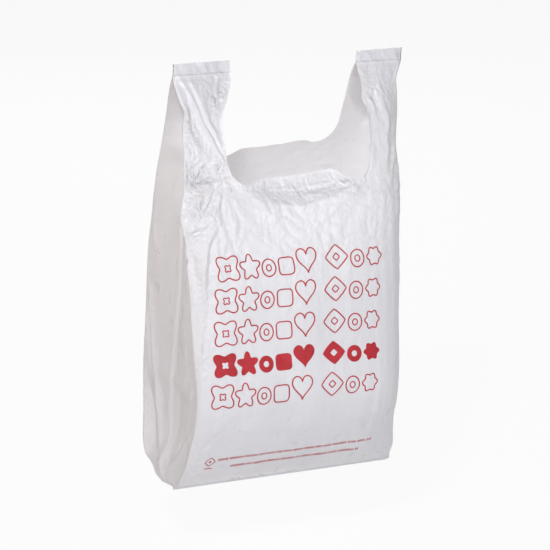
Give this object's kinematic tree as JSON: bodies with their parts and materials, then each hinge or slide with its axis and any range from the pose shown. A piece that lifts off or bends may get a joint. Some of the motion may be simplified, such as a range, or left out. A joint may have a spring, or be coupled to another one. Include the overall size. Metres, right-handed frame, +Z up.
{
  "type": "plastic carrier bag",
  "caption": "Thin white film carrier bag with side gussets, a U-shaped neck and loop handles, hanging open, with rows of red printed shapes on the front.",
  "frame": {"origin": "the middle of the tops of the two handles, where the bag hangs", "axes": "+X to the right of the front panel, -Y out of the front panel, +Z up; the bag hangs below the origin"},
  "size_m": [0.3092, 0.19, 0.5263],
  "materials": {
    "film": "semi-matt thin polythene film, slightly see-through, with fine creases",
    "red_ink": "flat red ink printed on the film"
  },
  "bodies": {
    "root": {"carrier_bag": "film"}
  },
  "joints": []
}
